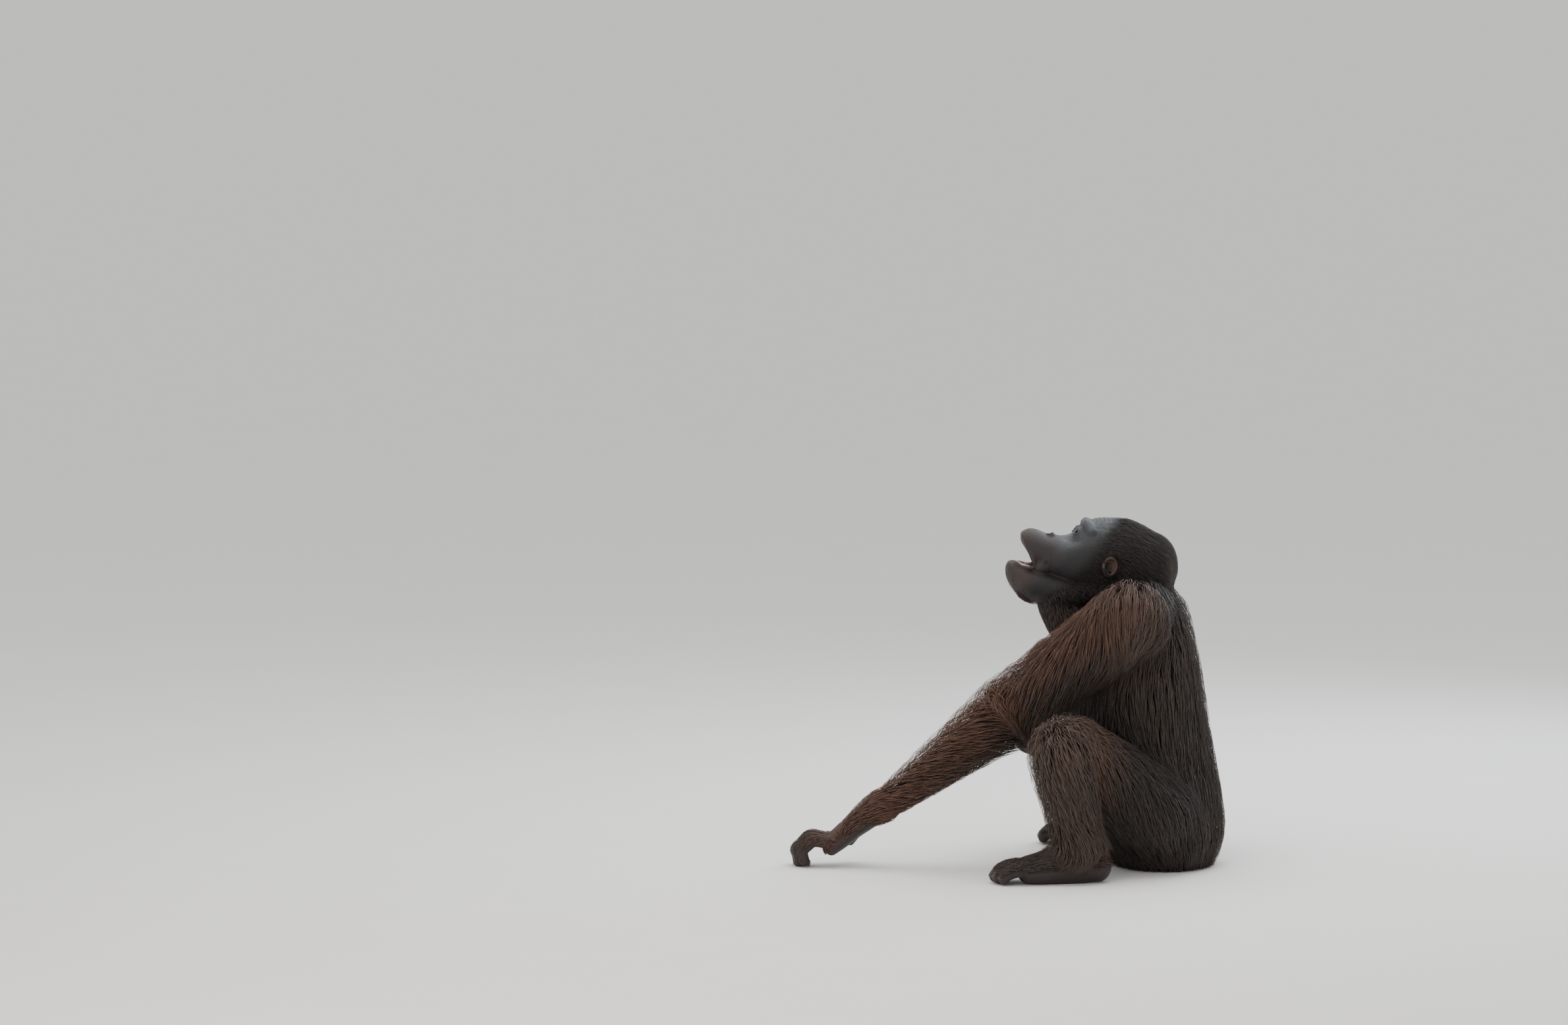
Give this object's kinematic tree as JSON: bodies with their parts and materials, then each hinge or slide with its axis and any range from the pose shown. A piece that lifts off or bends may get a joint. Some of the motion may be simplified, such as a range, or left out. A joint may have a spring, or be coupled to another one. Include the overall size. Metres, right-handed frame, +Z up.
{
  "type": "orangutan, still life-size model",
  "caption": "Seated orangutan with a long coat, head tilted back and mouth parted, knees up, one arm reaching forward to the floor, as a still museum model.",
  "frame": {"origin": "on the floor, under the middle of the animal's box", "axes": "+Z up, -X the way that the animal faces and reaches, -Y the animal's left side, which the picture shows"},
  "size_m": [0.7396, 0.5984, 0.5942],
  "materials": {
    "coat": "dark red-brown hair, long and lying down",
    "coat_red": "redder brown hair of the arms, lying towards the elbow",
    "face_skin": "dark grey-brown bare skin, softly shiny on brow and cheek",
    "hand_skin": "nearly black bare skin of hands and feet, finely creased",
    "eye": "dark brown wet eyeball",
    "tongue": "moist dark pink flesh"
  },
  "bodies": {
    "root": {"torso": "coat", "neck": "coat", "head": "face_skin", "ear_left": "face_skin", "ear_right": "face_skin", "eye_left": "eye", "eye_right": "eye", "tongue": "tongue", "upper_arm_left": "coat_red", "upper_arm_right": "coat_red", "forearm_left": "coat_red", "forearm_right": "coat_red", "hand_left": "hand_skin", "hand_right": "hand_skin", "thigh_left": "coat", "thigh_right": "coat", "shin_left": "coat", "shin_right": "coat", "foot_left": "hand_skin", "foot_right": "hand_skin"}
  },
  "joints": []
}
